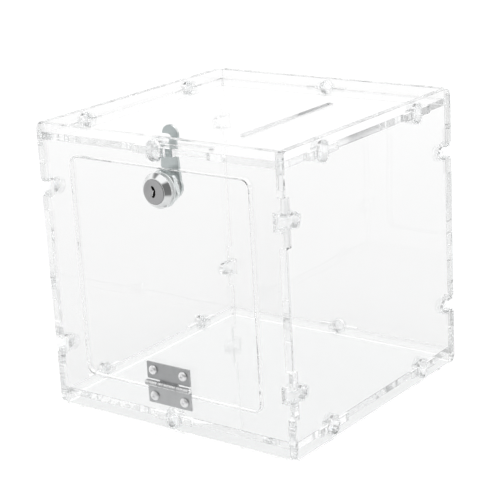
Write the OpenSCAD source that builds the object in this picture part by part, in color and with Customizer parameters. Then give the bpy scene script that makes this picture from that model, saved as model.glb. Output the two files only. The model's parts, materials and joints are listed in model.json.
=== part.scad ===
// Clear acrylic collection box: six tabbed panels held by clips, a hinged door in the front
// panel, and a cam lock whose hook reaches up through the top panel.
// X runs left to right, Y front to back, Z up, and the box stands on Z = 0.
// It is centred in X; in Y the span from the lock face to the rear clip heads is centred.
// Modules work in the box frame, with its origin at the front left bottom corner of the box;
// place() moves the finished piece.

/* [Box] */
// Outside width of the box, left to right
box_w = 200; // [196:1:240]
// Outside depth of the box, front to back
box_d = 200; // [196:1:240]
// Outside height of the box
box_h = 200; // [198:1:204]
// Thickness of every acrylic sheet
panel_t = 5; // [4.6:0.1:5.2]
// Height of the rim left above the top panel and below the bottom panel
rim = 6.5; // [6:0.1:7]
// Corner radius of the two side panels
corner_r = 5; // [3:0.5:5.5]

/* [Tabs and clips] */
// Length of one slot for a panel tab
slot_len = 32; // [26:1:36]
// Distance of a clip from the nearest corner of its edge
clip_from_corner = 44; // [42:1:50]
// Sliding clearance between a tab and its slot, per side
tab_gap = 0.05; // [0.05:0.05:0.2]
// Clearance between a clip and its cut-out, per side
clip_gap = 0.1; // [0.05:0.05:0.15]
// Thickness of the clip head outside the panel
clip_head = 0.8; // [0.5:0.1:1.2]
// Depth of the clip barb inside the panel
clip_barb = 4; // [3:0.5:4]

/* [Deposit slot] */
// Length of the slot for coins and notes
deposit_len = 104; // [60:1:110]
// Width of the slot for coins and notes
deposit_w = 4.5; // [3.5:0.5:8]
// Offset of the slot from the middle of the box, to the right
deposit_off = 33.5; // [0:0.5:40]

/* [Door] */
// Left edge of the door opening
open_x0 = 27.5; // [20:0.5:30]
// Right edge of the door opening
open_x1 = 174.5; // [170:0.5:178]
// Bottom edge of the door opening
open_z0 = 27.3; // [27:0.1:28]
// Top edge of the door opening
open_z1 = 180.8; // [180:0.1:181.2]
// Corner radius of the door opening
open_r = 6.5; // [4:0.5:8]
// Gap all round the door
door_gap = 1; // [0.8:0.1:1.2]

/* [Hinge] */
// Middle of the hinge, from the left side
hinge_x = 100.3; // [90:0.1:110]
// Height of the hinge pin
hinge_z = 32.5; // [32:0.1:33]
// Length of the hinge along its pin
hinge_len = 36; // [34:1:40]
// Width of one leaf, from the pin to its free edge
leaf_w = 14.4; // [14:0.1:14.5]
// Thickness of the leaves
leaf_t = 1.1; // [1:0.1:1.2]
// Outside radius of the knuckles
knuckle_r = 2.1; // [2:0.05:2.2]

/* [Lock] */
// Lock axis, from the left side
lock_x = 102.4; // [95:0.1:105]
// Height of the lock axis
lock_z = 165.6; // [165:0.1:166]
// Radius of the lock rim
rim_r = 11.75; // [11:0.05:12]
// How far the lock face stands out of the door
lock_proud = 4.6; // [4:0.1:5]
// Length of the cam from the lock axis to its tip
cam_len = 39.3; // [36:0.1:39.5]
// Thickness of the cam
cam_t = 2; // [1.5:0.1:2]

/* [Hidden] */
$fn = 64;
cut = 1;        // how far a cutting shape runs past a face
overlap = 0.01; // how far joined shapes run into each other

acrylic = [0.95, 0.97, 0.98, 0.3];
clip_clear = [0.93, 0.95, 0.96, 0.4];

// panels
mid_x = box_w / 2;
origin_y = (box_d + clip_head - lock_proud) / 2;
top_z1 = box_h - rim;
top_z0 = top_z1 - panel_t;
top_mid_z = (top_z0 + top_z1) / 2;
bottom_z0 = rim;
bottom_mid_z = bottom_z0 + panel_t / 2;
thickness_cut = [-cut, panel_t + cut]; // y range of a cut through the front panel or door

// tabs
clip_zs = [clip_from_corner, box_h - clip_from_corner];
clip_ys = [clip_from_corner, box_d - clip_from_corner];
slot_half = slot_len / 2;
tab_half = slot_half - tab_gap;
tab_root = tab_gap + 0.3; // how far a tab runs back into its own panel

// clips: half widths and half lengths of the round-ended layers
seat = 0.03; // play under a clip's head and barb
core_w = 4.7;
core_l = 6.8;
head_lip = 0.9;
head_w = core_w + head_lip;
head_l = core_l + head_lip;
barb_w = 5.9;
barb_l = 7.8;
// corner clips: half width of neck, distance to knob centre, and front lip
neck_w = 3.7;
neck_barb_w = neck_w + 1.1;
knob_y = 10.6;
lip_w = 5.9;
lip_t = 1.6;
// x ranges of the clip layers, the panel's outer face at x = 0
head_xs = [seat, clip_head];
core_xs = [-panel_t - 0.1, 0.1];
barb_xs = [-panel_t - clip_barb, -panel_t - seat];
pocket_xs = [-panel_t - clip_barb - clip_gap, -panel_t];
side_cut_xs = [-panel_t - cut, cut];
slit_xs = [-panel_t - clip_barb - cut, -panel_t / 2];
slit_half = 0.6;

// slots in the top panel
deposit_back = 1; // offset of the deposit slot behind the middle of the box
cam_slot_left = 9.5;
cam_slot_right = 36;
cam_slot_gap = 1.3;

// hinge
hinge_y = -(knuckle_r + 0.15);
mid_knuckle_half = hinge_len * 0.433 / 2;
knuckle_gap = 0.15; // set back at each knuckle joint
leaf_from_pin = knuckle_r + 0.6;
pin_r = 1.1;
pin_head_r = 1.6;
pin_head_len = 0.7;
pin_half = hinge_len / 2 + 0.05;
hinge_screw_dx = 12.5;
hinge_screw_dz = 9.1;
hinge_head_r = 3.35;
shank_r = 1.4;

// lock: radii, and y stations measured from the front face of the door
rim_t = 0.9;
barrel_r = 8.8;
barrel_end = 14.2;
flat_half = 7.8; // axis to each flat of the barrel
thread_depth = 0.6;
thread_len = 0.55; // one flank of a ring
thread_pitch = 1.25;
plug_head_r = 8.2;
plug_r = 6;
plug_gap = 0.06;
plug_seat_y = -2.5;
nut_y0 = panel_t + 0.9;
nut_y1 = nut_y0 + 4;
nut_half = 11; // half the width across flats
wafer_ys = [for (i = [0 : 3]) 1.5 + 2.2 * i];
spring_x = -3.4;
spring_r = 0.38;

// cam and its fastening
cam_y0 = 15;
cam_y1 = cam_y0 + cam_t;
stem_half = 3.5;
stem_hole_half = stem_half + 0.05;
hook_r = 6.3;
hook_z = cam_len - hook_r;
throat_r = 3;
throat_x = -1.9;
throat_z = cam_len - 8.9;
cam_washer_y = cam_y1 + 0.02;
cam_washer_t = 0.8;
cam_screw_r = 2;
cam_head_r = 4.2;
cam_head_y = cam_washer_y + cam_washer_t + 0.02;
cam_dome_y = cam_head_y + 1.2;

// ---------- shapes ----------
function sym(half) = [-half, half];

// box given by its [low, high] range on each axis
module block(xs, ys, zs)
    translate([xs[0], ys[0], zs[0]]) cube([xs[1] - xs[0], ys[1] - ys[0], zs[1] - zs[0]]);

module rod_x(xs, r) translate([xs[0], 0, 0]) rotate([0, 90, 0]) cylinder(r = r, h = xs[1] - xs[0]);

module rod_y(y0, y1, r) translate([0, y0, 0]) rotate([-90, 0, 0]) cylinder(r = r, h = y1 - y0);

module cone_y(y0, y1, r1, r2)
    translate([0, y0, 0]) rotate([-90, 0, 0]) cylinder(r1 = r1, r2 = r2, h = y1 - y0);

// cross recess of a screw head
module cross_cut(ys, half_len, half_w) {
    block(sym(half_len), ys, sym(half_w));
    block(sym(half_w), ys, sym(half_len));
}

// plate in the XZ plane with rounded corners
module round_block(xs, ys, zs, r) {
    block([xs[0] + r, xs[1] - r], ys, zs);
    block(xs, ys, [zs[0] + r, zs[1] - r]);
    for (x = [xs[0] + r, xs[1] - r], z = [zs[0] + r, zs[1] - r])
        translate([x, 0, z]) rod_y(ys[0], ys[1], r);
}

// round-ended slab, thickness along X and length along Z
module stadium_x(xs, half_w, half_len) {
    end_z = max(half_len - half_w, 0.01);
    for (side = [-1, 1]) translate([0, 0, side * end_z]) rod_x(xs, half_w);
    block(xs, sym(half_w), sym(end_z));
}

// neck running in Y from y0 to a round knob, thickness along X
module knob_x(xs, neck_half, r, y0 = 0) {
    block(xs, [y0, knob_y], sym(neck_half));
    translate([0, knob_y, 0]) rod_x(xs, r);
}

// ---------- placing ----------
module place() translate([-box_w / 2, -origin_y, 0]) children();
module at_hinge() translate([hinge_x, 0, hinge_z]) children();
module at_lock() translate([lock_x, 0, lock_z]) children();

// local x points outward from the named side, x = 0 on its outer face
module at_right_side() translate([box_w, 0, 0]) children();
module at_left_side() mirror([1, 0, 0]) children();
module at_front_side() rotate([0, 0, -90]) children();
module at_back_side() translate([0, box_d, 0]) rotate([0, 0, 90]) children();

// the six tabs round a level panel
module each_side_tab(z) {
    for (y = clip_ys) {
        at_right_side() translate([0, y, z]) children();
        at_left_side() translate([0, y, z]) children();
    }
    at_front_side() translate([0, mid_x, z]) children();
    at_back_side() translate([0, -mid_x, z]) children();
}

module each_front_corner() for (z = clip_zs) {
    at_right_side() translate([0, 0, z]) children();
    at_left_side() translate([0, 0, z]) children();
}

module flip_to_back() translate([0, box_d, 0]) mirror([0, 1, 0]) children();

// ---------- tabs and clips of the level panels: x outward, slot along y ----------
module tab_hole() {
    block(side_cut_xs, sym(slot_half), sym(panel_t / 2 + tab_gap));
    stadium_x(side_cut_xs, core_w + clip_gap, core_l + clip_gap);
}

// one tab, split in the middle for the clip core
module tab() difference() {
    block([-panel_t - tab_root, 0], sym(tab_half), sym(panel_t / 2));
    block(side_cut_xs, sym(core_w + clip_gap), sym(panel_t));
}

// pocket in the tabbed panel for the barb of the clip
module tab_pocket() block(pocket_xs, sym(barb_w + clip_gap), sym(panel_t));

module panel_clip() difference() {
    union() {
        stadium_x(head_xs, head_w, head_l);
        stadium_x(core_xs, core_w, core_l);
        stadium_x(barb_xs, barb_w, barb_l);
    }
    block(slit_xs, sym(slit_half), sym(20));
}

// ---------- corner tabs and clips: x outward, y inward from the front face ----------
module corner_clip() difference() {
    union() {
        knob_x(head_xs, neck_w + head_lip, head_w);
        knob_x(core_xs, neck_w, core_w);
        knob_x(barb_xs, neck_barb_w, barb_w);
        block([-panel_t - clip_barb, 0.1], [0, lip_t], sym(lip_w));
    }
    translate([0, panel_t + 1.5, 0]) block(slit_xs, [0, 20], sym(slit_half));
}

// notch in the edge of a side panel for one corner tab and its clip
module corner_notch() {
    block(side_cut_xs, [-cut, panel_t + tab_gap], sym(slot_half));
    knob_x(side_cut_xs, neck_w + clip_gap, core_w + clip_gap, panel_t - 0.5);
}

module corner_tab() block([-panel_t - tab_root, 0], [0, panel_t], sym(tab_half));

// room in an upright panel for the neck, barb and lip of a corner clip
module corner_tab_cut() {
    block([-panel_t - 0.5, cut], thickness_cut, sym(neck_w + clip_gap));
    block(pocket_xs, thickness_cut, sym(neck_barb_w + clip_gap));
    block([pocket_xs[0], cut - clip_gap], [-cut, lip_t + clip_gap], sym(lip_w + clip_gap));
}

// ---------- panels ----------
// side panel with its outer face at x = panel_t
module side_plate() difference() {
    union() {
        block([0, panel_t], [corner_r, box_d - corner_r], [0, box_h]);
        block([0, panel_t], [0, box_d], [corner_r, box_h - corner_r]);
        for (y = [corner_r, box_d - corner_r], z = [corner_r, box_h - corner_r])
            translate([0, y, z]) rod_x([0, panel_t], corner_r);
    }
    translate([panel_t, 0, 0]) {
        for (z = clip_zs) {
            translate([0, 0, z]) corner_notch();
            translate([0, box_d, z]) mirror([0, 1, 0]) corner_notch();
        }
        for (y = clip_ys, z = [top_mid_z, bottom_mid_z]) translate([0, y, z]) tab_hole();
    }
}

module right_panel()
    place() color(acrylic) translate([box_w - panel_t, 0, 0]) side_plate();

module left_panel()
    place() color(acrylic) translate([panel_t, 0, 0]) mirror([1, 0, 0]) side_plate();

// front or back panel, drawn at the front
module upright_plate() {
    inset = panel_t + tab_gap;
    difference() {
        union() {
            block([inset, box_w - inset], [0, panel_t], [0, box_h]);
            each_front_corner() corner_tab();
        }
        each_front_corner() corner_tab_cut();
        for (z = [top_mid_z, bottom_mid_z]) at_front_side() translate([0, mid_x, z]) tab_hole();
    }
}

// the two hinge screws of one leaf, in the hinge frame: side 1 above the pin, -1 below
module hinge_screw_spots(side)
    for (x = sym(hinge_screw_dx)) translate([x, 0, side * hinge_screw_dz]) children();

module hinge_screw_holes(side)
    at_hinge() hinge_screw_spots(side) rod_y(-cut, panel_t + cut, shank_r + 0.05);

module front_panel() place() color(acrylic) difference() {
    upright_plate();
    round_block([open_x0, open_x1], thickness_cut, [open_z0, open_z1], open_r);
    hinge_screw_holes(-1);
}

module back_panel() place() color(acrylic) flip_to_back() upright_plate();

// top or bottom panel with its lower face at z0
module level_plate(z0) {
    inset = panel_t + tab_gap;
    difference() {
        union() {
            block([inset, box_w - inset], [inset, box_d - inset], [z0, z0 + panel_t]);
            each_side_tab(z0 + panel_t / 2) tab();
        }
        each_side_tab(z0 + panel_t / 2) tab_pocket();
    }
}

// round-ended slot through the top panel, along X or Y
module top_slot(xs, ys) {
    x_len = xs[1] - xs[0];
    y_len = ys[1] - ys[0];
    r = min(x_len, y_len) / 2;
    zs = [top_z0 - cut, top_z1 + cut];
    for (end = [0, 1])
        translate([xs[end] + r * (1 - 2 * end), ys[end] + r * (1 - 2 * end), zs[0]])
            cylinder(r = r, h = zs[1] - zs[0]);
    if (y_len > x_len) block(xs, [ys[0] + r, ys[1] - r], zs);
    if (y_len < x_len) block([xs[0] + r, xs[1] - r], ys, zs);
}

module top_panel() {
    deposit_x = mid_x + deposit_off;
    deposit_y = box_d / 2 + deposit_back;
    place() color(acrylic) difference() {
        level_plate(top_z0);
        // slot for coins and notes
        top_slot([deposit_x - deposit_w / 2, deposit_x + deposit_w / 2],
            [deposit_y - deposit_len / 2, deposit_y + deposit_len / 2]);
        // slot the hook of the cam turns up through
        top_slot([lock_x - cam_slot_left, lock_x + cam_slot_right],
            [cam_y0 - cam_slot_gap, cam_y1 + cam_slot_gap]);
    }
}

module bottom_panel() place() color(acrylic) level_plate(bottom_z0);

// ---------- clips ----------
module front_corner_clips() place() color(clip_clear) each_front_corner() corner_clip();
module back_corner_clips()
    place() color(clip_clear) flip_to_back() each_front_corner() corner_clip();
module top_panel_clips() place() color(clip_clear) each_side_tab(top_mid_z) panel_clip();
module bottom_panel_clips() place() color(clip_clear) each_side_tab(bottom_mid_z) panel_clip();

// ---------- door ----------
module door_panel() place() color(acrylic) difference() {
    round_block([open_x0 + door_gap, open_x1 - door_gap], [0, panel_t],
        [open_z0 + door_gap, open_z1 - door_gap], open_r - door_gap);
    hinge_screw_holes(1);
    // hole with two flats for the lock barrel
    at_lock() intersection() {
        rod_y(-cut, panel_t + cut, barrel_r + 0.1);
        block(sym(20), thickness_cut, sym(flat_half + 0.1));
    }
}

// ---------- hinge: x along the pin, z = 0 at the pin's height ----------
// leaf rising from the pin, with a knuckle over each x range in spans
module hinge_leaf(spans) difference() {
    union() {
        block(sym(hinge_len / 2), [-leaf_t, 0], [leaf_from_pin, leaf_w]);
        for (span = spans) {
            block(span, [-leaf_t, 0], [0, knuckle_r + 1]);
            translate([0, hinge_y, 0]) rod_x(span, knuckle_r);
        }
    }
    translate([0, hinge_y, 0]) rod_x(sym(hinge_len), pin_r + 0.04);
    hinge_screw_spots(1) rod_y(-leaf_t - cut, cut, shank_r + 0.15);
}

module hinge_leaf_door() place() at_hinge() color([0.62, 0.63, 0.64])
    hinge_leaf([sym(mid_knuckle_half - knuckle_gap)]);

module hinge_leaf_frame() place() at_hinge() color([0.66, 0.67, 0.68])
    mirror([0, 0, 1]) hinge_leaf([
        [-hinge_len / 2, -mid_knuckle_half - knuckle_gap],
        [mid_knuckle_half + knuckle_gap, hinge_len / 2]]);

// pin with a slightly wider head at each end
module hinge_pin() place() at_hinge() color([0.75, 0.75, 0.76])
    translate([0, hinge_y, 0]) rotate([0, 90, 0]) {
        translate([0, 0, -pin_half]) cylinder(r = pin_r, h = 2 * pin_half);
        translate([0, 0, pin_half]) cylinder(r1 = pin_head_r, r2 = pin_r, h = pin_head_len);
        translate([0, 0, -pin_half - pin_head_len])
            cylinder(r1 = pin_r, r2 = pin_head_r, h = pin_head_len);
    }

// screw with a bevelled head towards -Y, its cross recess turned 25 degrees
module hinge_screw() rotate([0, 25, 0]) difference() {
    union() {
        cone_y(-leaf_t - 1.9, -leaf_t - 1, 2.4, hinge_head_r);
        rod_y(-leaf_t - 1, -leaf_t, hinge_head_r);
        rod_y(-leaf_t - overlap, panel_t - 0.4 - overlap, shank_r);
    }
    cross_cut([-leaf_t - 2, -leaf_t - 0.9], 1.7, 0.32);
}

module door_hinge_screws()
    place() at_hinge() color([0.85, 0.85, 0.86]) hinge_screw_spots(1) hinge_screw();
module frame_hinge_screws()
    place() at_hinge() color([0.85, 0.85, 0.86]) hinge_screw_spots(-1) hinge_screw();

// ---------- lock: its axis is the local Y axis ----------
// barrel before its flats are cut, with rings of thread behind the nut
module round_barrel() {
    rod_y(-overlap, nut_y1 + 0.3 - overlap, barrel_r);
    rod_y(nut_y1, barrel_end, barrel_r - 0.5);
    for (i = [0 : 2]) translate([0, nut_y1 + 0.5 + i * thread_pitch, 0]) {
        cone_y(0, thread_len, barrel_r - thread_depth, barrel_r);
        cone_y(thread_len - overlap, 2 * thread_len - overlap, barrel_r, barrel_r - thread_depth);
    }
}

module lock_housing() place() at_lock() color([0.85, 0.85, 0.87]) difference() {
    union() {
        rod_y(-rim_t, 0, rim_r);
        cone_y(-lock_proud + 0.25, -rim_t + overlap, plug_head_r + 0.75, rim_r);
        intersection() {
            round_barrel();
            block(sym(20), [-5, 25], sym(flat_half));
        }
    }
    rod_y(-lock_proud - cut, plug_seat_y, plug_head_r + plug_gap);
    rod_y(-lock_proud, 40 - lock_proud, plug_r + plug_gap);
}

module lock_washer() place() at_lock() color([0.8, 0.8, 0.82]) difference() {
    rod_y(panel_t, nut_y0, 11.2);
    rod_y(panel_t - cut, panel_t + 2, barrel_r + 0.15);
}

// hexagon nut with its corners rounded off
module lock_nut() place() at_lock() color([0.78, 0.78, 0.8]) difference() {
    intersection() {
        translate([0, nut_y0, 0]) rotate([-90, 0, 0]) rotate([0, 0, 15])
            linear_extrude(height = nut_y1 - nut_y0) circle(r = nut_half / cos(30), $fn = 6);
        rod_y(nut_y0, nut_y1, 12.2);
    }
    rod_y(nut_y0 - cut, nut_y0 + 9, barrel_r + 0.05);
}

// stepped keyway from the front face
module keyway() {
    ys = [-lock_proud - cut, 10.2];
    block([-0.15, 1.35], ys, [0, 4.1]);
    block([-1.0, 0.7], ys, [-4.1, 0.1 + overlap]);
}

// outline of a wafer and its spring, each grown by a clearance
module wafer_block(gap) block([-2.2 - gap, 3 + gap], sym(0.4 + gap), sym(4.6 + gap));
module spring_rod(r, end_gap)
    translate([spring_x, 0, -2.4 - end_gap]) cylinder(r = r, h = 4.4 + 2 * end_gap, $fn = 32);

module lock_plug() place() at_lock() color([0.5, 0.5, 0.52]) difference() {
    union() {
        cone_y(-lock_proud, -lock_proud + 0.3, plug_head_r - 0.3, plug_head_r);
        rod_y(-lock_proud + 0.3 - overlap, plug_seat_y - plug_gap, plug_head_r);
        rod_y(plug_seat_y - 0.1, barrel_end, plug_r);
        // square stem that carries the stop washer and the cam
        block(sym(stem_half), [barrel_end - overlap, cam_y1 - 0.1 - overlap], sym(stem_half));
    }
    keyway();
    for (y = wafer_ys) translate([0, y, 0]) wafer_block(0.08);
    // side pockets for the wafer springs
    for (y = wafer_ys) translate([0, y, 0]) spring_rod(spring_r + 0.07, 0.1);
    // screw hole in the rear end
    rod_y(11.2, 21.2, cam_screw_r + 0.05);
}

// wafers whose windows sit at stepped heights
module lock_wafers() place() at_lock() color([0.75, 0.62, 0.3])
    for (i = [0 : 3]) translate([0, wafer_ys[i], 0]) difference() {
        wafer_block(0);
        translate([0, 0, 0.35 * (i % 3)]) block([-1.25, 1.65], sym(1), [-3.4, 2.8]);
    }

module lock_wafer_springs() place() at_lock() color([0.7, 0.7, 0.7])
    for (y = wafer_ys) translate([0, y, 0]) spring_rod(spring_r, 0);

// washer with a square hole and a stop lug pointing down
module stop_washer() {
    ys = [barrel_end + 0.05, cam_y0 - 0.05];
    place() at_lock() color([0.8, 0.8, 0.8]) difference() {
        union() {
            rod_y(ys[0], ys[1], 8);
            block(sym(2.2), ys, [-9.6, -5.6]);
        }
        block(sym(stem_hole_half), [barrel_end - cut, barrel_end + 2], sym(stem_hole_half));
    }
}

// straight cam with a hooked end: the throat of the hook opens to the left
module lock_cam() {
    // [x, z] from the lock axis up to the middle of the hook
    arm_outline = [
        [-8.4, 0], [8.4, 0], [7.2, 14], [6.4, 22], [hook_r, hook_z],
        [-hook_r, hook_z], [-6.4, 22], [-7.2, 14]];
    cut_ys = [cam_y0 - cut, cam_y1 + cut];
    place() at_lock() color([0.66, 0.69, 0.69]) difference() {
        union() {
            rod_y(cam_y0, cam_y1, 9);
            translate([0, cam_y1, 0]) rotate([90, 0, 0])
                linear_extrude(height = cam_t) polygon(arm_outline);
            translate([0, 0, hook_z]) rod_y(cam_y0, cam_y1, hook_r);
        }
        // throat
        translate([0, 0, throat_z]) block([-10, throat_x + 0.1], cut_ys, sym(throat_r));
        translate([throat_x, 0, throat_z]) rod_y(cut_ys[0], cut_ys[1], throat_r);
        block(sym(stem_hole_half), cut_ys, sym(stem_hole_half));
    }
}

module cam_washer() place() at_lock() color([0.8, 0.8, 0.82]) difference() {
    rod_y(cam_washer_y, cam_washer_y + cam_washer_t, 6.4);
    rod_y(cam_y1 - cut, cam_y1 + 2, cam_screw_r + 0.1);
}

module cam_screw() place() at_lock() color([0.82, 0.82, 0.84]) difference() {
    union() {
        rod_y(12, cam_y1 + 1, cam_screw_r);
        rod_y(cam_head_y, cam_dome_y, cam_head_r);
        cone_y(cam_dome_y - overlap, cam_dome_y + 1 - overlap, cam_head_r, 3);
    }
    cross_cut([cam_y1 + 2.1, cam_y1 + 4.1], 2.6, 0.45);
}

left_panel();
right_panel();
front_panel();
back_panel();
top_panel();
bottom_panel();
front_corner_clips();
back_corner_clips();
top_panel_clips();
bottom_panel_clips();
door_panel();
hinge_leaf_door();
hinge_leaf_frame();
hinge_pin();
door_hinge_screws();
frame_hinge_screws();
lock_housing();
lock_washer();
lock_nut();
lock_plug();
lock_wafers();
lock_wafer_springs();
stop_washer();
lock_cam();
cam_washer();
cam_screw();
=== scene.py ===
"""A clear acrylic box, a 200 mm cube, with a hinged door and a cam lock.

Row frame: metres, +Z up, the front towards -Y, the right side towards +X. The box stands
on z = 0 with its middle near x = y = 0. Piece sizes below are in millimetres; the camera,
the light and the floor are in metres.
"""
import json
import math
import bmesh
import bpy
from mathutils import Matrix, Vector


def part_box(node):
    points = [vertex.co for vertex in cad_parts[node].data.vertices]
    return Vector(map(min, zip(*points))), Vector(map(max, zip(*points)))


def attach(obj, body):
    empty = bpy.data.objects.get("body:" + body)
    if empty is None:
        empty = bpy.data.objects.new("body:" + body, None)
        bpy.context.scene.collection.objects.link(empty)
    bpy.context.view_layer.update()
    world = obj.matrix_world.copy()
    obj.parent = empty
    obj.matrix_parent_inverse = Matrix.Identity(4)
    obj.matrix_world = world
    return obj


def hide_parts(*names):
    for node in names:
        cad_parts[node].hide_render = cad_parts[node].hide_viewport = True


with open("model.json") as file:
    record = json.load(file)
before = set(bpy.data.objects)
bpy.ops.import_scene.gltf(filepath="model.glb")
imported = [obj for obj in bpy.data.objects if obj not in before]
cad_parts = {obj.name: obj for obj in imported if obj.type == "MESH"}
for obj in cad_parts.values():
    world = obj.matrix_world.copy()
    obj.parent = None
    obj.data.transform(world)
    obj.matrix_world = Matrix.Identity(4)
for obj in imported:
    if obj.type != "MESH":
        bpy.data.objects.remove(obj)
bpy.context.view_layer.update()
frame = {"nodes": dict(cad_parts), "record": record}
NODES = frame["nodes"]
BODY_OF = {node: body for body, nodes in frame["record"]["behaviour"]["bodies"].items()
           for node in nodes}
SCENE = bpy.context.scene
MM = 0.001
TURN = 2 * math.pi

# Rounding of CAD edges
PANEL_ROUND = 0.22
CLIP_ROUND = 0.25
LEAF_ROUND = 0.16
SMOOTH_ANGLE = 50            # degrees; sharper edges stay sharp

# Lock: places are along Y from the back of the rim, positive into the box
RIM_FRONT = -4.35
RIM_RADIUS = 11.75
MOUTH_RADIUS = 8.26          # wide front part of the bore
BORE_RADIUS = 6.06
BARREL_END = 14.2
BARREL_FLAT = 7.8            # half the width across the two flats
NUT_FLAT = 11.0              # half the width across flats
NUT_CORNER = 12.2            # corner radius after turning
NUT_CHAMFER = (1.45, 0.84)   # radial, along Y
NUT_BORE = 9.35              # radius of the bore's mouth
KEYWAY_HALF = 3.9            # half the height of the keyway

# Pan-head hinge screws
HEAD_RADIUS = 3.35
HEAD_HEIGHT = 3.0
SHANK_RADIUS = 1.4
RECESS_TURN = 25.0           # degrees

# Wafer springs
SPRING_COUNT = 4
SPRING_RADIUS = 0.30
SPRING_WIRE = 0.07           # radius of the wire
SPRING_MARGIN = 0.38         # from the end of the row to the first spring's axis


# ------------------------------------------------------------------ shader trees
class Tree:
    """A small writer of shader node trees."""

    def __init__(self, owner):
        self.owner = owner
        owner.use_nodes = True
        self.nodes = owner.node_tree.nodes
        self.links = owner.node_tree.links
        self.nodes.clear()

    def put(self, socket, value):
        """Links a socket or sets a value; a colour of three parts gets an alpha of 1."""
        if isinstance(value, bpy.types.NodeSocket):
            self.links.new(value, socket)
        elif isinstance(value, tuple) and len(value) == 3 and len(socket.default_value) == 4:
            socket.default_value = value + (1.0,)
        else:
            socket.default_value = value

    def node(self, kind, **inputs):
        """A node with its inputs given by name, an underscore for each space."""
        node = self.nodes.new(kind)
        for key, value in inputs.items():
            self.put(node.inputs[key.replace("_", " ")], value)
        return node

    def numbered(self, kind, values, places=None, **settings):
        """A node with its inputs given by place."""
        node = self.nodes.new(kind)
        for key, value in settings.items():
            setattr(node, key, value)
        for place, value in zip(places or range(len(values)), values):
            self.put(node.inputs[place], value)
        return node

    def math(self, operation, *values):
        return self.numbered("ShaderNodeMath", values, operation=operation).outputs[0]

    def add(self, first, second):
        return self.math("ADD", first, second)

    def sub(self, first, second):
        return self.math("SUBTRACT", first, second)

    def mul(self, first, second):
        return self.math("MULTIPLY", first, second)

    def absolute(self, value):
        return self.math("ABSOLUTE", value)

    def invert(self, value):
        return self.sub(1.0, value)

    def vector(self, operation, *values):
        node = self.numbered("ShaderNodeVectorMath", values, operation=operation)
        return node.outputs["Value" if operation == "LENGTH" else "Vector"]

    def step(self, value, start, end, low=0.0, high=1.0):
        """Smooth ramp from low, where value is start, to high, where value is end."""
        return self.numbered("ShaderNodeMapRange", (value, start, end, low, high),
                             interpolation_type="SMOOTHSTEP").outputs[0]

    def mix_colour(self, factor, first, second):
        return self.numbered("ShaderNodeMix", (factor, first, second), (0, 6, 7),
                             data_type="RGBA").outputs[2]

    def mix_value(self, factor, first, second):
        return self.numbered("ShaderNodeMix", (factor, first, second), (0, 2, 3),
                             data_type="FLOAT").outputs[0]

    def mix_shader(self, factor, first, second):
        return self.numbered("ShaderNodeMixShader", (factor, first, second)).outputs[0]

    def coords(self, per_mm=1):
        """Object coordinates in millimetres, times one factor or a factor for each axis."""
        if not isinstance(per_mm, tuple):
            per_mm = (per_mm,) * 3
        place = self.node("ShaderNodeTexCoord").outputs["Object"]
        scale = tuple(1000 * factor for factor in per_mm)
        return self.node("ShaderNodeMapping", Vector=place, Scale=scale).outputs[0]

    def noise(self, per_mm, detail, rough=0.5, distortion=0.0):
        return self.node("ShaderNodeTexNoise", Vector=self.coords(per_mm), Scale=1.0,
                         Detail=detail, Roughness=rough, Distortion=distortion).outputs["Fac"]

    def split(self, vector):
        return tuple(self.node("ShaderNodeSeparateXYZ", Vector=vector).outputs)

    def normal(self):
        """The three parts of the object-space normal."""
        return self.split(self.node("ShaderNodeTexCoord").outputs["Normal"])

    def squareness(self, normal):
        """Largest part of the normal: 1 on faces square to an axis, less on rounded edges."""
        x, y, z = [self.absolute(part) for part in normal]
        return self.math("MAXIMUM", self.math("MAXIMUM", x, y), z)

    def bump(self, height, strength, distance, normal=None):
        node = self.node("ShaderNodeBump", Strength=strength, Distance=distance, Height=height)
        if normal is not None:
            self.put(node.inputs["Normal"], normal)
        return node.outputs[0]

    def out(self, surface, kind="Material", **others):
        self.node("ShaderNodeOutput" + kind, Surface=surface, **others)
        return self.owner


# ------------------------------------------------------------------ clear plastics
def clear_shader(tree, colour, rough, normal):
    return tree.node("ShaderNodeBsdfPrincipled", Base_Color=colour, Roughness=rough, IOR=1.49,
                     Normal=normal, Transmission_Weight=1.0).outputs[0]


def clear_output(tree, shader, colour, density):
    """Output with an absorbing volume; shadow and diffuse rays pass straight through."""
    rays = tree.node("ShaderNodeLightPath").outputs
    passing = tree.math("MAXIMUM", rays["Is Shadow Ray"], rays["Is Diffuse Ray"])
    clear = tree.node("ShaderNodeBsdfTransparent", Color=(0.975, 0.98, 0.98)).outputs[0]
    surface = tree.mix_shader(passing, shader, clear)
    volume = tree.node("ShaderNodeVolumeAbsorption", Color=colour, Density=density)
    return tree.out(surface, Volume=volume.outputs[0])


def slot_walls(tree, face, rough, tint):
    """Walls of the deposit slot: left as sawn, with painted shade in grey towards the back."""
    x, y, _ = tree.split(tree.coords())
    across = tree.absolute(tree.sub(x, 33.5))  # distance from the slot's middle
    inside = tree.mul(tree.step(across, start=4.2, end=3.4),
                      tree.step(tree.absolute(y), start=72.0, end=68.0))
    inside = tree.mul(inside, tree.invert(face))
    sawn_rough = 0.32
    rough = tree.mix_value(inside, rough, sawn_rough)
    # painted shade: a grey band on the slot walls from y = 13 mm, easing a little towards the
    # back
    slot_painted_shade = tree.mul(tree.step(y, start=13.0, end=20.0),
                      tree.step(y, start=18.0, end=62.0, low=1.0, high=0.65))
    clean, grey = (0.94, 0.943, 0.945), (0.34, 0.345, 0.35)
    tint = tree.mix_colour(inside, tint, tree.mix_colour(slot_painted_shade, clean, grey))
    return rough, tint


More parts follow.
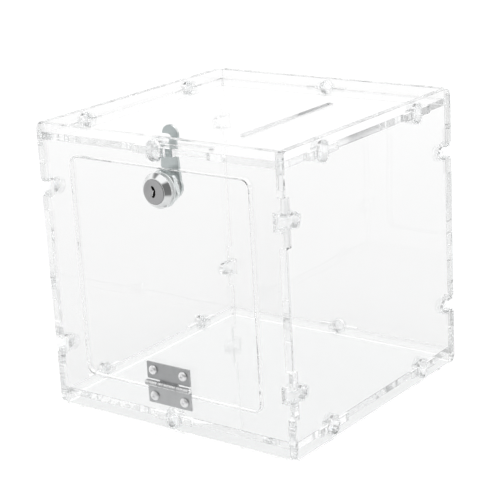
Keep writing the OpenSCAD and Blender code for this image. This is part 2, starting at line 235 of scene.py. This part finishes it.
def acrylic(name, axis):
    """Cast sheet, its two large faces square to axis 0, 1 or 2.

    Every other face is a sawn and flame-polished edge.
    """
    tree = Tree(bpy.data.materials.new(name))
    normal = tree.normal()
    face = tree.step(tree.absolute(normal[axis]), start=0.80, end=0.98)

    # handling marks: very faint smears and scratches on the faces
    smear = tree.noise((0.012, 0.02, 0.016), detail=4.0, rough=0.62, distortion=0.6)
    smear = tree.step(smear, start=0.52, end=0.80)
    scratch = tree.noise((0.08, 1.9, 0.11), detail=3.0, rough=0.7)
    scratch = tree.step(scratch, start=0.66, end=0.74)
    smear_rough, scratch_rough = 0.022, 0.010
    rough_face = tree.add(tree.mul(smear, smear_rough), tree.mul(scratch, scratch_rough))

    # cut edges: fine marks across the sheet, a little frost
    def across_sheet(factor):
        return tuple((0.05 if i == axis else 0.9) * factor for i in range(3))

    cut = tree.noise(across_sheet(1.0), detail=3.0, rough=0.6)
    wave = tree.noise(across_sheet(0.14), detail=2.0, rough=0.5)
    polished_rough, frost_rough = 0.01, 0.035
    rough_edge = tree.add(polished_rough, tree.mul(cut, frost_rough))
    rough = tree.mix_value(face, rough_edge, rough_face)
    edge_tint = tree.mix_colour(cut, (0.976, 0.980, 0.981), (0.995, 0.996, 0.996))
    face_tint = tree.mix_colour(smear, (0.986, 0.987, 0.987), (0.977, 0.979, 0.979))
    tint = tree.mix_colour(face, edge_tint, face_tint)

    # painted shade: a grey tint on the rounded arrises draws thin grey lines, weaker where they
    # face up or down
    arris_painted_shade = tree.step(tree.squareness(normal), start=0.985, end=0.90)
    level = tree.step(tree.absolute(normal[2]), start=0.15, end=0.45)
    upright_amount, level_amount = 0.85, 0.40
    amount = tree.mix_value(level, upright_amount, level_amount)
    tint = tree.mix_colour(tree.mul(arris_painted_shade, amount), tint, (0.50, 0.51, 0.51))
    if axis == 2:
        rough, tint = slot_walls(tree, face, rough, tint)

    # a long soft ripple on the faces, saw marks on the edges
    relief = 0.05  # strength of each bump
    ripple = tree.noise(0.02, detail=1.0, rough=0.4)
    bump = tree.bump(ripple, strength=tree.mul(face, relief), distance=0.004)
    for height, distance in ((cut, 0.00003), (wave, 0.00015)):
        strength = tree.mul(tree.invert(face), relief)
        bump = tree.bump(height, strength, distance, bump)
    shader = clear_shader(tree, tint, rough, bump)
    return clear_output(tree, shader, colour=(0.80, 0.81, 0.812), density=0.3)


def clip_plastic(name):
    """Moulded clear clips: a little cloudier than the sheet, with flow marks."""
    tree = Tree(bpy.data.materials.new(name))
    flow = tree.noise((0.22, 0.22, 0.5), detail=3.0, rough=0.55, distortion=0.8)
    fine = tree.noise(2.2, detail=2.0, rough=0.5)
    least_rough, flow_rough = 0.02, 0.05
    rough = tree.add(least_rough, tree.mul(flow, flow_rough))
    colour = tree.mix_colour(flow, (0.95, 0.952, 0.955), (0.985, 0.986, 0.987))
    bump = tree.bump(flow, strength=0.12, distance=0.0006)
    bump = tree.bump(fine, strength=0.06, distance=0.0001, normal=bump)
    shader = clear_shader(tree, colour, rough, bump)
    clear = tree.node("ShaderNodeBsdfTransparent", Color=(0.985, 0.987, 0.988)).outputs[0]
    clear_share = 0.88  # how far the mix goes from the moulded shader to plain clear
    shader = tree.mix_shader(clear_share, shader, clear)
    return clear_output(tree, shader, colour=(0.84, 0.845, 0.85), density=6.0)


# ------------------------------------------------------------------ metals
def metal(name, base, dark, rough, brush, brush_amount, bump, spots=0.0, wear_and_highlight=0.0):
    """Brushed and clouded metal. brush is the noise scale per millimetre."""
    tree = Tree(bpy.data.materials.new(name))
    streak = tree.noise(brush, detail=4.0, rough=0.65)
    cloud = tree.noise(0.11, detail=3.0, rough=0.55, distortion=0.3)
    cloud_dark = 0.35
    streak_rough, cloud_rough = rough * 0.55, rough * 0.35
    colour = tree.mix_colour(tree.mul(streak, brush_amount), base, dark)
    clouded = tree.mul(tree.step(cloud, start=0.42, end=0.72), cloud_dark)
    colour = tree.mix_colour(clouded, colour, dark)
    # streaks roughen or polish about their middle value
    gloss = tree.add(rough, tree.mul(tree.sub(streak, 0.5), streak_rough))
    gloss = tree.add(gloss, tree.mul(tree.step(cloud, start=0.45, end=0.75), cloud_rough))
    if spots > 0:
        spot = tree.step(tree.noise(0.55, detail=2.0, rough=0.5), start=0.68, end=0.76)
        spot_rough = 0.15
        colour = tree.mix_colour(tree.mul(spot, spots), colour, (0.22, 0.21, 0.20))
        gloss = tree.add(gloss, tree.mul(spot, spot_rough))
    if wear_and_highlight > 0:
        # bright patches on rounded edges: worn edges, and a painted highlight where the edges
        # catch the light
        edge = tree.step(tree.squareness(tree.normal()), start=0.995, end=0.94)
        patch = tree.step(tree.noise(0.8, detail=3.0, rough=0.6), start=0.25, end=0.6)
        worn_edge_highlight = tree.mul(tree.mul(edge, patch), wear_and_highlight)
        wear_polish = rough * 0.4
        colour = tree.mix_colour(worn_edge_highlight, colour, (0.9, 0.9, 0.9))
        gloss = tree.sub(gloss, tree.mul(worn_edge_highlight, wear_polish))
    relief = tree.bump(streak, strength=bump, distance=0.00008)
    return tree.out(tree.node("ShaderNodeBsdfPrincipled", Base_Color=colour, Metallic=1.0,
                              Roughness=gloss, Normal=relief).outputs[0])


# ------------------------------------------------------------------ edge finish
def smooth_by_angle(degrees):
    """Geometry nodes: drops the imported corner normals and shades smooth below an angle."""
    group = bpy.data.node_groups.new("smooth_%d" % degrees, "GeometryNodeTree")
    for way in ("INPUT", "OUTPUT"):
        group.interface.new_socket("Geometry", in_out=way, socket_type="NodeSocketGeometry")
    new, link = group.nodes.new, group.links.new
    source, result = new("NodeGroupInput"), new("NodeGroupOutput")
    drop = new("GeometryNodeRemoveAttribute")
    drop.inputs["Name"].default_value = "custom_normal"
    faces = new("GeometryNodeSetShadeSmooth")
    faces.domain = "FACE"
    faces.inputs["Shade Smooth"].default_value = True
    edges = new("GeometryNodeSetShadeSmooth")
    edges.domain = "EDGE"
    angle = new("GeometryNodeInputMeshEdgeAngle")
    below = new("FunctionNodeCompare")
    below.data_type = "FLOAT"
    below.operation = "LESS_THAN"
    below.inputs[1].default_value = math.radians(degrees)
    link(angle.outputs["Unsigned Angle"], below.inputs[0])
    link(below.outputs[0], edges.inputs["Shade Smooth"])
    link(source.outputs[0], drop.inputs["Geometry"])
    link(drop.outputs["Geometry"], faces.inputs["Geometry"])
    link(faces.outputs["Geometry"], edges.inputs["Geometry"])
    link(edges.outputs["Geometry"], result.inputs[0])
    return group


SMOOTH = smooth_by_angle(SMOOTH_ANGLE)


def add_modifier(piece, name, kind, **settings):
    modifier = piece.modifiers.new(name, kind)
    for key, value in settings.items():
        setattr(modifier, key, value)


def soften(piece, width):
    """Joins the corners of a mesh, rounds its edges by width and shades it."""
    add_modifier(piece, "join", "WELD", merge_threshold=2e-6)
    add_modifier(piece, "flat", "DECIMATE", decimate_type="DISSOLVE",
                 angle_limit=math.radians(0.6))
    add_modifier(piece, "round", "BEVEL", width=width * MM, segments=2, limit_method="ANGLE",
                 angle_limit=math.radians(32), miter_outer="MITER_ARC",
                 use_clamp_overlap=True)
    add_modifier(piece, "clean", "WELD", merge_threshold=3e-6)
    add_modifier(piece, "shade", "NODES", node_group=SMOOTH)
    add_modifier(piece, "normals", "WEIGHTED_NORMAL", mode="FACE_AREA", weight=50,
                 keep_sharp=True)


def dress(node, material, width, air=0.0):
    """Material and rounded edges for a CAD piece.

    air shrinks it by that many millimetres, so that it doesn't share a face with clear sheet.
    """
    piece = NODES[node]
    piece.data.materials.clear()
    piece.data.materials.append(material)
    if air > 0:
        add_modifier(piece, "join first", "WELD", merge_threshold=2e-6)
        add_modifier(piece, "air", "DISPLACE", direction="NORMAL", mid_level=0.0,
                     strength=-air * MM)
    soften(piece, width)


# ------------------------------------------------------------------ materials of the pieces
SIDES = acrylic("acrylic_sides", 0)
UPRIGHTS = acrylic("acrylic_uprights", 1)
LEVELS = acrylic("acrylic_levels", 2)
CLIPS = clip_plastic("clip_plastic")

# finishes shared by two metals each
HINGE_FINISH = dict(brush=(0.05, 2.6, 2.6), brush_amount=0.6, bump=0.16, spots=0.25, wear_and_highlight=0.8)
BRIGHT_FINISH = dict(brush=1.2, brush_amount=0.35, bump=0.05, wear_and_highlight=0.3)

# one hinge steel in two copies: the door leaf painted darker as painted shade, the frame leaf
# painted lighter as painted light
LEAF = metal("hinge_steel", base=(0.43, 0.435, 0.44), dark=(0.32, 0.325, 0.33),
             rough=0.30, **HINGE_FINISH)
LEAF_PAINTED_LIGHTER = metal("hinge_steel_painted_lighter", base=(0.54, 0.545, 0.55), dark=(0.43, 0.435, 0.44),
                 rough=0.36, **HINGE_FINISH)
BRIGHT = metal("bright_steel", base=(0.93, 0.93, 0.935), dark=(0.76, 0.76, 0.77),
               rough=0.30, **BRIGHT_FINISH)
SCREW = metal("screw_steel", base=(0.98, 0.98, 0.985), dark=(0.86, 0.86, 0.87),
              rough=0.46, **BRIGHT_FINISH)
CHROME = metal("lock_chrome", base=(0.82, 0.83, 0.83), dark=(0.62, 0.63, 0.63),
               rough=0.10, brush=0.4, brush_amount=0.25, bump=0.02)
PLUG = metal("plug_metal", base=(0.43, 0.43, 0.435), dark=(0.34, 0.34, 0.345),
             rough=0.28, brush=(1.5, 0.4, 1.5), brush_amount=0.5, bump=0.10)
ZINC = metal("zinc_steel", base=(0.80, 0.83, 0.83), dark=(0.64, 0.68, 0.68),
             rough=0.24, brush=0.9, brush_amount=0.5, bump=0.08, spots=0.2)
WASHER = metal("washer_steel", base=(0.90, 0.91, 0.91), dark=(0.80, 0.82, 0.82),
               rough=0.48, brush=0.9, brush_amount=0.4, bump=0.06)
CAM = metal("cam_steel", base=(0.53, 0.575, 0.575), dark=(0.39, 0.435, 0.435),
            rough=0.30, brush=(1.8, 1.8, 0.06), brush_amount=0.5, bump=0.12, spots=0.3,
            wear_and_highlight=0.7)
BRASS = metal("wafer_brass", base=(0.78, 0.60, 0.28), dark=(0.50, 0.36, 0.16),
              rough=0.25, brush=1.0, brush_amount=0.6, bump=0.08)

# CAD node, material, edge rounding, air
DRESSING = (
    ("left_panel", SIDES, PANEL_ROUND, 0),
    ("right_panel", SIDES, PANEL_ROUND, 0),
    ("front_panel", UPRIGHTS, PANEL_ROUND, 0),
    ("back_panel", UPRIGHTS, PANEL_ROUND, 0),
    ("door_panel", UPRIGHTS, PANEL_ROUND, 0),
    ("top_panel", LEVELS, PANEL_ROUND, 0),
    ("bottom_panel", LEVELS, PANEL_ROUND, 0),
    ("front_corner_clips", CLIPS, CLIP_ROUND, 0),
    ("back_corner_clips", CLIPS, CLIP_ROUND, 0),
    ("top_panel_clips", CLIPS, CLIP_ROUND, 0),
    ("bottom_panel_clips", CLIPS, CLIP_ROUND, 0),
    ("hinge_leaf_door", LEAF, LEAF_ROUND, 0.025),
    ("hinge_leaf_frame", LEAF_PAINTED_LIGHTER, LEAF_ROUND, 0.025),
    ("hinge_pin", BRIGHT, 0.08, 0),
    ("lock_washer", WASHER, 0.1, 0.03),
    ("lock_wafers", BRASS, 0.05, 0),
    ("stop_washer", ZINC, 0.08, 0),
    ("lock_cam", CAM, 0.2, 0),
    ("cam_washer", ZINC, 0.08, 0),
    ("cam_screw", ZINC, 0.1, 0),
)
for entry in DRESSING:
    dress(*entry)


# ------------------------------------------------------------------ mesh helpers
def make_object(mesh, name):
    """Turns a bmesh into a linked object and frees it."""
    data = bpy.data.meshes.new(name)
    mesh.to_mesh(data)
    mesh.free()
    piece = bpy.data.objects.new(name, data)
    SCENE.collection.objects.link(piece)
    return piece


def finish_piece(mesh, name, material, node, round_width=0.0):
    """Makes an object of a bmesh whose vertices are in the row frame, in place of a CAD node."""
    bmesh.ops.recalc_face_normals(mesh, faces=mesh.faces)
    piece = make_object(mesh, name)
    piece.data.materials.append(material)
    if round_width > 0:
        soften(piece, round_width)
    else:
        for face in piece.data.polygons:
            face.use_smooth = True
        add_modifier(piece, "shade", "NODES", node_group=SMOOTH)
    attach(piece, BODY_OF[node])
    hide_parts(node)


def rings(mesh, origin, profile, count, close=True):
    """Round piece about an axis along Y through origin.

    profile lists (radius, y) in millimetres. A radius may be a function of the angle, and a
    radius of 0 is a single point on the axis.
    """
    rows = []
    for radius, y in profile:
        place_y = origin[1] + y * MM
        if not callable(radius) and radius < 1e-9:
            rows.append([mesh.verts.new((origin[0], place_y, origin[2]))])
            continue
        row = []
        for i in range(count):
            angle = TURN * i / count
            reach = radius(angle) if callable(radius) else radius
            row.append(mesh.verts.new((origin[0] + reach * MM * math.cos(angle), place_y,
                                       origin[2] + reach * MM * math.sin(angle))))
        rows.append(row)
    pairs = list(zip(rows, rows[1:]))
    if close:
        pairs.append((rows[-1], rows[0]))
    for near, far in pairs:
        for i in range(count):
            j = (i + 1) % count
            if len(near) == 1:
                mesh.faces.new((near[0], far[i], far[j]))
            elif len(far) == 1:
                mesh.faces.new((near[i], far[0], near[j]))
            else:
                mesh.faces.new((near[i], far[i], far[j], near[j]))


def prism(mesh, outline, stations, origin):
    """Solid along Y from a closed outline of (x, z), drawn at stations of (scale, y)."""
    loops = [[mesh.verts.new((origin[0] + x * MM * scale, origin[1] + y * MM,
                              origin[2] + z * MM * scale)) for x, z in outline]
             for scale, y in stations]
    mesh.faces.new(loops[0])
    mesh.faces.new(list(reversed(loops[-1])))
    for near, far in zip(loops, loops[1:]):
        for i in range(len(outline)):
            j = (i + 1) % len(outline)
            mesh.faces.new((near[j], near[i], far[i], far[j]))


def combine(body_mesh, tool_mesh, name, operation="DIFFERENCE"):
    """The body minus the tool, or the two joined, as a new bmesh."""
    pair = []
    for mesh, ending in ((body_mesh, "_a"), (tool_mesh, "_b")):
        bmesh.ops.recalc_face_normals(mesh, faces=mesh.faces)
        pair.append(make_object(mesh, name + ending))
    body, tool = pair
    add_modifier(body, "cut", "BOOLEAN", operation=operation, solver="EXACT", object=tool)
    bpy.context.view_layer.update()
    graph = bpy.context.evaluated_depsgraph_get()
    result = bmesh.new()
    result.from_mesh(body.evaluated_get(graph).to_mesh())
    for piece in pair:
        data = piece.data
        bpy.data.objects.remove(piece)
        bpy.data.meshes.remove(data)
    return result


def arc(middle, y, radius, start, end, count):
    """Points (radius, y) on an arc, angles in degrees from the +radius direction."""
    angles = [math.radians(start + (end - start) * i / count) for i in range(count + 1)]
    return [(middle + radius * math.cos(angle), y + radius * math.sin(angle))
            for angle in angles]


def march(start, end, step):
    """Places from start by step, stopping short of end."""
    place = start
    while (end - place) * step > 0:
        yield place
        place += step


def thread(major, depth, pitch, y):
    """Radius by angle of a V thread with small flats, at place y."""
    def radius(angle):
        slope = abs(2 * ((y / pitch - angle / TURN) % 1.0) - 1)
        return major - depth * min(1.0, max(0.0, (slope - 0.12) / 0.76))

    return radius


# ------------------------------------------------------------------ lock
lock_lo, lock_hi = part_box("lock_housing")
LOCK = ((lock_lo.x + lock_hi.x) / 2, lock_lo.y - RIM_FRONT * MM, (lock_lo.z + lock_hi.z) / 2)


def flatted(radius, half):
    """A radius, or a function of the angle, cut by two flats at +-half along Z."""
    def cut(angle):
        reach = radius(angle) if callable(radius) else radius
        return min(reach, half / max(1e-6, abs(math.sin(angle))))

    return cut


def lock_housing():
    """Bevelled rim, flatted and threaded barrel, stepped bore."""
    inner, outer, back = 0.18, 0.30, 0.2  # rim fillets
    profile = arc(MOUTH_RADIUS + inner, RIM_FRONT + inner, inner, 180, 270, 4)
    profile += arc(8.95 - outer, RIM_FRONT + outer, outer, -90, -40, 5)
    profile += arc(RIM_RADIUS - outer, -0.95, outer, -39, 0, 5)
    profile += [(RIM_RADIUS, -0.30)] + arc(RIM_RADIUS - back, -0.23, back, 0, 90, 3)
    profile += [(9.3, -0.03), (8.9, -0.03)]
    profile += [(flatted(8.8, BARREL_FLAT), y) for y in (0.0, 5.1)]
    profile += [(flatted(thread(8.78, 0.5, 1.0, y), BARREL_FLAT), y)
                for y in march(5.2, 13.75, 0.125)]
    profile += [(flatted(8.3, BARREL_FLAT), 13.8), (flatted(8.2, 7.7), 14.0),
                (flatted(7.95, 7.5), BARREL_END)]
    profile += [(6.30, BARREL_END), (BORE_RADIUS, 13.95), (BORE_RADIUS, -2.5),
                (MOUTH_RADIUS, -2.5)]
    mesh = bmesh.new()
    rings(mesh, LOCK, profile, 144)
    finish_piece(mesh, "lock_housing_turned", CHROME, "lock_housing")


def hexagon(limit):
    """Radius by angle of the nut's hexagon, turned down to limit."""
    def radius(angle):
        from_flat = (math.degrees(angle) + 15.0) % 60.0 - 30.0
        return min(NUT_FLAT / math.cos(math.radians(from_flat)), limit)

    return radius


def nut_thread(y):
    return lambda angle: 8.86 + 0.30 * abs(2 * ((y - angle / TURN) % 1.0) - 1)


def lock_nut():
    """Hexagon nut with turned chamfers on both faces and a threaded bore."""
    low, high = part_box("lock_nut")
    front, back = (low.y - LOCK[1]) / MM, (high.y - LOCK[1]) / MM
    radial, along = NUT_CHAMFER
    profile = [(NUT_BORE, front), (10.2, front)]
    profile += [(hexagon(NUT_CORNER - radial + radial * k / 5), front + along * k / 5)
                for k in range(6)]
    profile += [(hexagon(NUT_CORNER - radial * k / 5), back - along + along * k / 5)
                for k in range(6)]
    profile += [(10.2, back), (NUT_BORE, back)]
    profile += [(nut_thread(y), y) for y in march(back - 0.45, front + 0.4, -0.25)]
    mesh = bmesh.new()
    rings(mesh, LOCK, profile, 240)
    finish_piece(mesh, "lock_nut_chamfered", ZINC, "lock_nut")


def keyway_walls():
    """Left and right walls of the S-shaped keyway as (x, z), from the bottom up."""
    left, right = [], []
    for i in range(25):
        z = -KEYWAY_HALF + 2 * KEYWAY_HALF * i / 24
        overrun = max(0.0, abs(z) - 2.7) / 1.2  # 0 on the straight part, 1 at the ends
        rounding = math.sqrt(max(0, 1 - overrun ** 2))
        middle = 0.75 * math.cos(TURN * z / 9.0) * (1 if z > 0 else 0.6) - 0.35
        half = 0.14 + 0.95 * rounding + 0.25 * math.exp(-((z + 1.6) / 1.1) ** 2)
        left.append((middle - half, z))
        right.append((middle + half, z))
    return left, right


def lock_plug(left, right):
    """Turned face with a fine step, keyway, stem with a square end."""
    profile = [(0.0, -4.52), (5.9, -4.52), (6.05, -4.60), (7.85, -4.60)]
    profile += arc(7.95, -4.35, 0.25, -80, 0, 4)
    profile += [(8.2, -2.75), (8.05, -2.6), (6.0, -2.6), (6.0, 13.9), (5.8, BARREL_END),
                (0.0, BARREL_END)]
    body, keyway, stem = bmesh.new(), bmesh.new(), bmesh.new()
    rings(body, LOCK, profile, 96, close=False)
    prism(keyway, left + list(reversed(right)), ((1, -6.0), (1, 10.2)), LOCK)
    cut = combine(body, keyway, "plug")
    # square with clipped corners, (x, z)
    square = [(-3.5, -3.1), (-3.1, -3.5), (3.1, -3.5), (3.5, -3.1),
              (3.5, 3.1), (3.1, 3.5), (-3.1, 3.5), (-3.5, 3.1)]
    prism(stem, square, ((1, 13.0), (1, 16.9)), LOCK)
    finish_piece(combine(cut, stem, "stem", "UNION"), "lock_plug_turned", PLUG,
                 "lock_plug", 0.10)


def keyway_highlight_strip(left):
    """Bright steel strip along the left wall of the keyway, with a few steps in it: a painted
    highlight standing in for glints on that wall.
    """
    wall = left[4:16]
    stepped = [(x + 0.30 + 0.28 * (i % 4 in (1, 2)), z) for i, (x, z) in enumerate(wall)]
    outline = [(x - 0.05, z) for x, z in wall] + list(reversed(stepped))
    mesh = bmesh.new()
    prism(mesh, outline, ((1, -4.40), (1, -0.5)), LOCK)
    finish_piece(mesh, "keyway_highlight_strip", BRIGHT, "lock_plug", 0.06)


lock_housing()
lock_nut()
left_wall, right_wall = keyway_walls()
lock_plug(left_wall, right_wall)
keyway_highlight_strip(left_wall)


# ------------------------------------------------------------------ hinge screws
# domed head as (radius, y), y from the seating plane, front to back
HEAD_PROFILE = [
    (0.0, -HEAD_HEIGHT), (1.0, -2.97), (1.85, -2.87), (2.5, -2.66), (2.95, -2.33),
    (3.23, -1.90), (HEAD_RADIUS, -1.5), (3.32, -1.22), (3.1, -1.1), (SHANK_RADIUS, -1.1),
]
# one quarter of the cross as (x, z), and its taper as (scale, y)
RECESS_QUARTER = ((1.75, 0.24), (0.36, 0.36), (0.24, 1.75))
RECESS_TAPER = ((1.12, -3.4), (0.85, -2.55), (0.3, -2.1))


def cross_outline():
    outline = []
    for quarter in range(4):
        angle = quarter * math.pi / 2 + math.radians(RECESS_TURN)
        cosine, sine = math.cos(angle), math.sin(angle)
        outline += [(x * cosine - z * sine, x * sine + z * cosine) for x, z in RECESS_QUARTER]
    return outline


def pan_screws(node, name):
    """Two pan-head screws with a cross recess and a cut thread, one at each end of the box."""
    low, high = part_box(node)
    radius, seat = HEAD_RADIUS * MM, low.y + HEAD_HEIGHT * MM
    tip = (high.y - seat) / MM
    profile = HEAD_PROFILE + [(thread(SHANK_RADIUS, 0.28, 0.8, y), y)
                              for y in march(-0.6, tip - 0.5, 0.1)]
    profile += [(1.0, tip - 0.35), (0.55, tip - 0.1), (0.0, tip)]
    both = bmesh.new()
    for x in (low.x + radius, high.x - radius):
        origin = (x, seat, (low.z + high.z) / 2)
        body, recess = bmesh.new(), bmesh.new()
        rings(body, origin, profile, 32, close=False)
        prism(recess, cross_outline(), RECESS_TAPER, origin)
        screw = combine(body, recess, "screw")
        data = bpy.data.meshes.new("tmp")
        screw.to_mesh(data)
        screw.free()
        both.from_mesh(data)
        bpy.data.meshes.remove(data)
    finish_piece(both, name, SCREW, node)


pan_screws("door_hinge_screws", "door_hinge_pan_screws")
pan_screws("frame_hinge_screws", "frame_hinge_pan_screws")


# ------------------------------------------------------------------ wafer springs
def coil(mesh, centre, radius, wire, height, turns=10, steps=14, around=6):
    """Closed wire coil standing along Z; lengths in metres."""
    count = turns * steps
    rise = Vector((0, 0, 1))
    rows = []
    for i in range(count + 1):
        angle = TURN * i / steps
        outward = Vector((math.cos(angle), math.sin(angle), 0))
        z = centre[2] - height / 2 + wire + (height - 2 * wire) * i / count
        point = Vector((centre[0] + radius * math.cos(angle),
                        centre[1] + radius * math.sin(angle), z))
        rows.append([mesh.verts.new(point + outward * wire * math.cos(TURN * k / around)
                                    + rise * wire * math.sin(TURN * k / around))
                     for k in range(around)])
    for lower, upper in zip(rows, rows[1:]):
        for k in range(around):
            j = (k + 1) % around
            mesh.faces.new((lower[k], upper[k], upper[j], lower[j]))
    mesh.faces.new(rows[0])
    mesh.faces.new(list(reversed(rows[-1])))


def wafer_springs():
    """A row of coils in the side pockets of the plug."""
    low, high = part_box("lock_wafer_springs")
    run = high.y - low.y - 2 * SPRING_MARGIN * MM
    mesh = bmesh.new()
    for i in range(SPRING_COUNT):
        y = low.y + SPRING_MARGIN * MM + run * i / (SPRING_COUNT - 1)
        coil(mesh, ((low.x + high.x) / 2, y, (low.z + high.z) / 2), SPRING_RADIUS * MM,
             SPRING_WIRE * MM, high.z - low.z)
    finish_piece(mesh, "wafer_coil_springs", BRIGHT, "lock_wafer_springs")


wafer_springs()


# ------------------------------------------------------------------ camera
def make_camera():
    """Looks down on the front from the right, slightly rolled."""
    azimuth, height, roll = math.radians(37.36), math.radians(17.33), math.radians(-3.22)
    cube_middle = Vector((0.0, 0.0019, 0.1))
    # eye from the middle of the cube, along the camera's own axes
    shift_right, shift_up, distance = -0.0029, -0.0024, 1.0898

    back = Vector((math.sin(azimuth) * math.cos(height),
                   -math.cos(azimuth) * math.cos(height), math.sin(height)))
    forward = -back
    level = forward.cross(Vector((0, 0, 1))).normalized()
    upright = level.cross(forward)
    right = level * math.cos(roll) + upright * math.sin(roll)
    up = -level * math.sin(roll) + upright * math.cos(roll)
    eye = cube_middle + right * shift_right + up * shift_up + back * distance

    data = bpy.data.cameras.new("camera")
    data.sensor_width = 36.0
    data.lens = 113.3208
    data.clip_start = 0.01
    camera = bpy.data.objects.new("camera", data)
    SCENE.collection.objects.link(camera)
    rows = [(right[i], up[i], back[i], eye[i]) for i in range(3)]
    camera.matrix_world = Matrix(rows + [(0, 0, 0, 1)])
    SCENE.camera = camera
    return camera


CAMERA = make_camera()


# ------------------------------------------------------------------ studio
# In the shaders' camera coordinates x is right, y is up and z is forward.
WHITE = (1.0, 1.0, 1.0)


def studio_world():
    """A white light tent round the object with a dim room behind the camera.

    It turns with the camera.
    """
    tree = Tree(bpy.data.worlds.new("studio"))
    place = tree.node("ShaderNodeTexCoord").outputs["Camera"]
    x, y, z = tree.split(tree.vector("NORMALIZE", place))
    # light levels
    room, tent, overhead, flag_level, backdrop = 0.20, 0.93, 1.15, 0.30, 1.02
    level = tree.mix_value(tree.step(z, start=-0.62, end=-0.22), room, tent)
    level = tree.mix_value(tree.step(y, start=0.30, end=0.55), level, overhead)
    rays = tree.node("ShaderNodeLightPath").outputs
    # a grey flag high on the left, seen only in mirror-like metal
    flag = tree.mul(tree.step(y, start=0.66, end=0.80), tree.step(x, start=0.22, end=-0.12))
    flag = tree.mul(flag, tree.step(z, start=-0.35, end=-0.15))
    level = tree.mix_value(tree.mul(flag, rays["Is Glossy Ray"]), level, flag_level)
    level = tree.mix_value(rays["Is Camera Ray"], level, backdrop)
    light = tree.node("ShaderNodeBackground", Color=WHITE, Strength=level)
    return tree.out(light.outputs[0], kind="World")


def floor_material():
    """Pale floor of the tent, lit partly by a painted glow; it dims where it leaves the tent
    towards the camera, as painted shade.
    """
    tree = Tree(bpy.data.materials.new("floor_white"))
    place = tree.node("ShaderNodeTexCoord").outputs["Camera"]
    object_middle = (0.0, 0.0, 1.1)
    offset = tree.vector("SUBTRACT", place, object_middle)
    distance = tree.vector("LENGTH", offset)
    z = tree.split(tree.vector("NORMALIZE", offset))[2]
    dark = tree.mul(tree.step(z, start=-0.30, end=-0.65),
                    tree.step(distance, start=0.28, end=0.50))
    direct = tree.node("ShaderNodeLightPath").outputs["Is Camera Ray"]
    grain = tree.noise(0.004, detail=2.0, rough=0.5)
    # painted shade: outside the tent the albedo drops to dim for all but camera rays
    pale, dim = 0.35, 0.12  # albedo in the tent and outside it
    albedo = tree.mul(tree.mix_value(tree.mul(dark, tree.invert(direct)), pale, dim),
                      tree.step(grain, start=0.2, end=0.8, low=0.985, high=1.0))
    grey = tree.node("ShaderNodeCombineColor", Red=albedo, Green=albedo, Blue=albedo)
    diffuse = tree.node("ShaderNodeBsdfDiffuse", Color=grey.outputs[0])

    # the top light falls off with distance; a painted glow that grows with distance stands in
    # for the light of the tent walls
    far = tree.step(distance, start=0.1, end=1.6)
    near = tree.step(distance, start=0.06, end=0.26)
    # painted glow under the object, round it, far off and outside the tent: lower under the
    # object as painted contact shade, low outside the tent as painted shade
    painted_shade_under, beside, far_off, outside = 0.48, 0.52, 0.73, 0.08
    seen_near, seen_far = 0.68, 0.76  # glow seen directly by the camera
    glow = tree.mix_value(far, tree.mix_value(near, painted_shade_under, beside), far_off)
    glow = tree.mix_value(dark, glow, outside)
    glow = tree.mix_value(direct, glow, tree.mix_value(far, seen_near, seen_far))
    emission = tree.node("ShaderNodeEmission", Color=WHITE, Strength=glow)
    both = (diffuse.outputs[0], emission.outputs[0])
    return tree.out(tree.numbered("ShaderNodeAddShader", both).outputs[0])


def make_floor(count=24, half=4.0, level=-0.00005):
    """Square grid just below the box."""
    mesh = bmesh.new()
    places = [-half + 2 * half * i / count for i in range(count + 1)]
    grid = [[mesh.verts.new((x, y, level)) for y in places] for x in places]
    for i in range(count):
        for j in range(count):
            mesh.faces.new((grid[i][j], grid[i + 1][j], grid[i + 1][j + 1], grid[i][j + 1]))
    floor = make_object(mesh, "floor")
    floor.data.materials.append(floor_material())


def softbox(name, place, aim, width, height, watts):
    """An area light in the camera's frame, so that the studio turns with the camera."""
    data = bpy.data.lights.new(name, "AREA")
    data.shape = "RECTANGLE"
    data.size = width
    data.size_y = height
    data.energy = watts
    light = bpy.data.objects.new(name, data)
    SCENE.collection.objects.link(light)
    light.parent = CAMERA
    light.location = place
    light.rotation_mode = "QUATERNION"
    light.rotation_quaternion = (Vector(aim) - Vector(place)).to_track_quat("-Z", "Y")
    light.visible_camera = False
    light.visible_transmission = False


SCENE.world = studio_world()
make_floor()
softbox("top_box", place=(0.10, 0.95, -1.00), aim=(0, 0, -1.09), width=0.5, height=0.4,
        watts=3.0)

SCENE.view_settings.view_transform = "Standard"
SCENE.view_settings.look = "None"
cycles = SCENE.cycles
# light runs the whole length of a sheet by bouncing between its faces, so the limits are high
cycles.max_bounces = 128
cycles.transmission_bounces = 128
cycles.glossy_bounces = 128
cycles.blur_glossy = 0.0
cycles.diffuse_bounces = 3
cycles.transparent_max_bounces = 64
cycles.caustics_reflective = True
cycles.caustics_refractive = True
